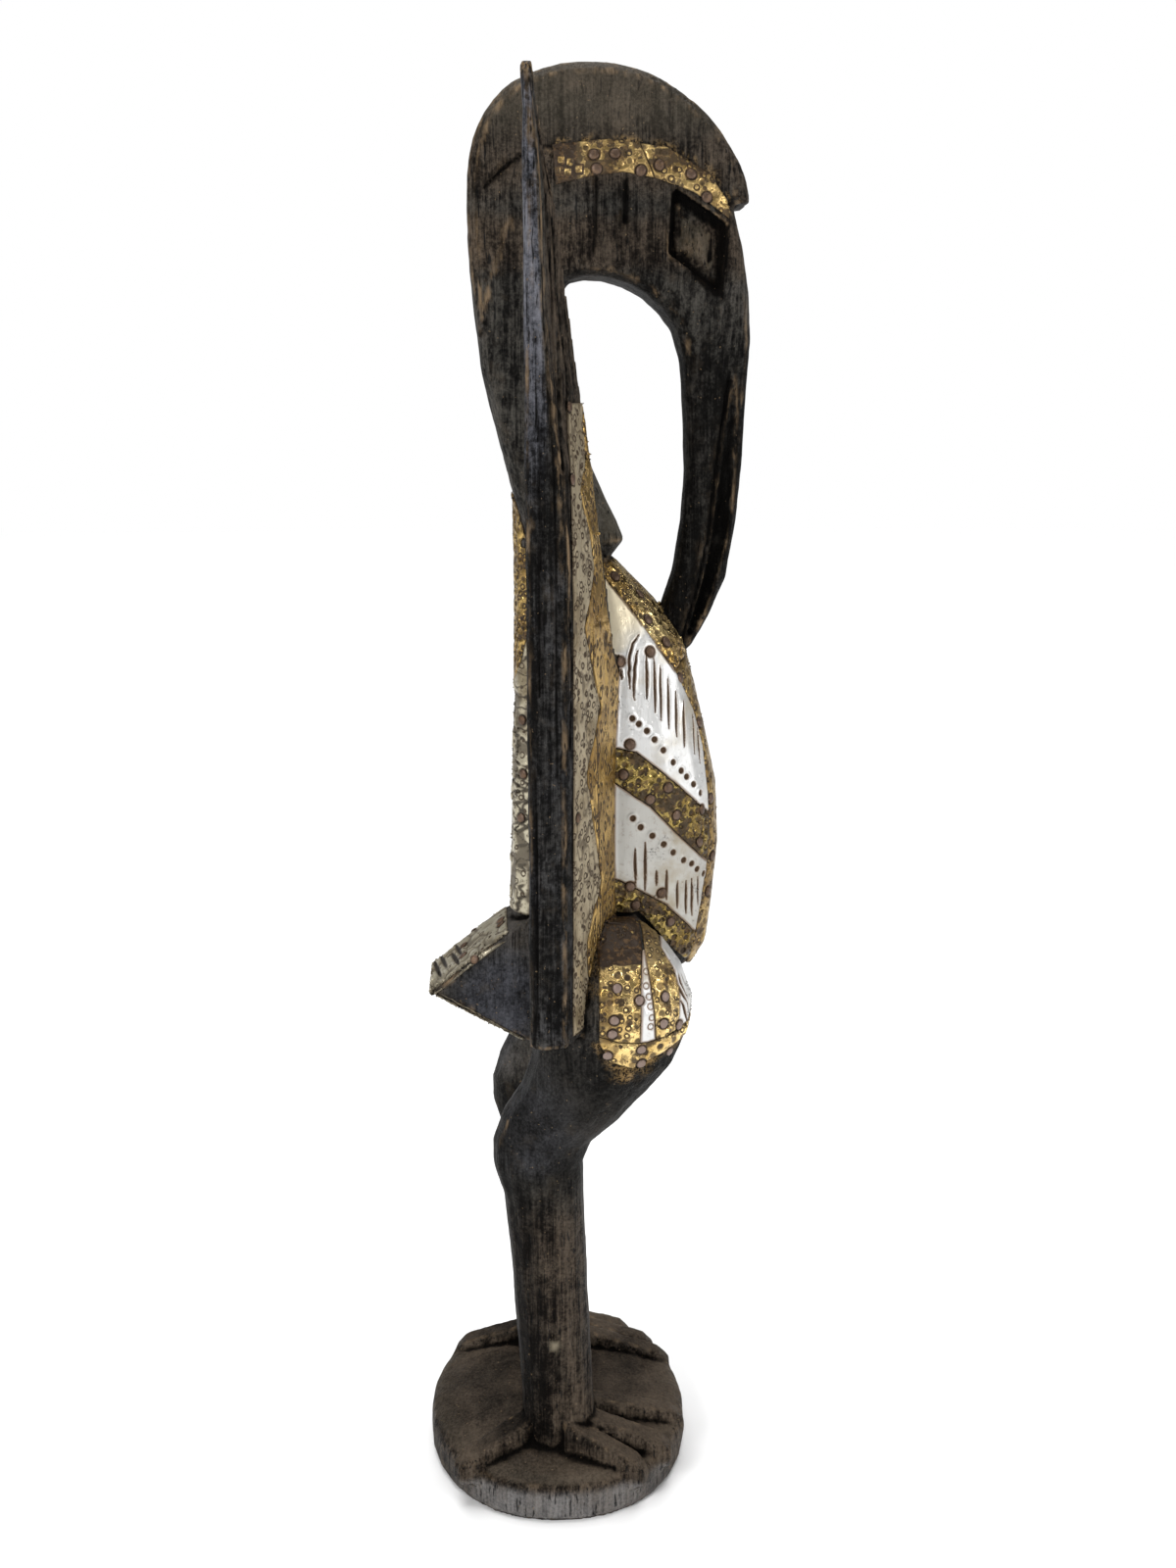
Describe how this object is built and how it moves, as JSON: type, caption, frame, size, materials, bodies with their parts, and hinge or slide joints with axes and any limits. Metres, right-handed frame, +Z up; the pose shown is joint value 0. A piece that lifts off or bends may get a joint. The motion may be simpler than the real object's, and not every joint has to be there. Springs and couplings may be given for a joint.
{
  "type": "senufo bird figure",
  "caption": "Tall standing hornbill carved in wood on an oval base, its long beak bent down to its belly, with a crest and upright wings, clad in nailed brass and aluminium sheet.",
  "frame": {"origin": "centre of the base's flat underside", "axes": "+Z up, +X the way the bird looks, so its right side is -Y"},
  "size_m": [0.1786, 0.202, 0.771],
  "materials": {
    "dark_wood": "old dark carved wood, worn and dry, with a dull sheen on its edges",
    "brass_sheet": "thin stamped brass, half covered with brown patina",
    "aluminium_sheet": "thin punched aluminium, brushed by wear, brown in its grooves"
  },
  "bodies": {
    "root": {"carved_bird": "dark_wood", "back_sheet_upper": "brass_sheet", "belly_band_lower_left": "brass_sheet", "belly_band_lower_right": "brass_sheet", "belly_band_upper_left": "brass_sheet", "belly_band_upper_right": "brass_sheet", "belly_rim": "brass_sheet", "belly_top_band": "brass_sheet", "brow_band_front_left": "brass_sheet", "brow_band_front_right": "brass_sheet", "brow_band_rear_left": "brass_sheet", "brow_band_rear_right": "brass_sheet", "thigh_band_left": "brass_sheet", "thigh_band_right": "brass_sheet", "thigh_cap_front_left": "brass_sheet", "thigh_cap_front_right": "brass_sheet", "thigh_cap_rear_left": "brass_sheet", "thigh_cap_rear_right": "brass_sheet", "wing_strip_inner_left": "brass_sheet", "wing_strip_inner_right": "brass_sheet", "back_sheet_lower": "aluminium_sheet", "belly_panel_lower_left": "aluminium_sheet", "belly_panel_lower_right": "aluminium_sheet", "belly_panel_upper_left": "aluminium_sheet", "belly_panel_upper_right": "aluminium_sheet", "tail_foot_sheet": "aluminium_sheet", "tail_top_sheet": "aluminium_sheet", "thigh_cap_edge_left": "aluminium_sheet", "thigh_cap_edge_right": "aluminium_sheet", "thigh_strip_left": "aluminium_sheet", "thigh_strip_right": "aluminium_sheet", "wing_strip_outer_left": "aluminium_sheet", "wing_strip_outer_right": "aluminium_sheet"}
  },
  "joints": []
}
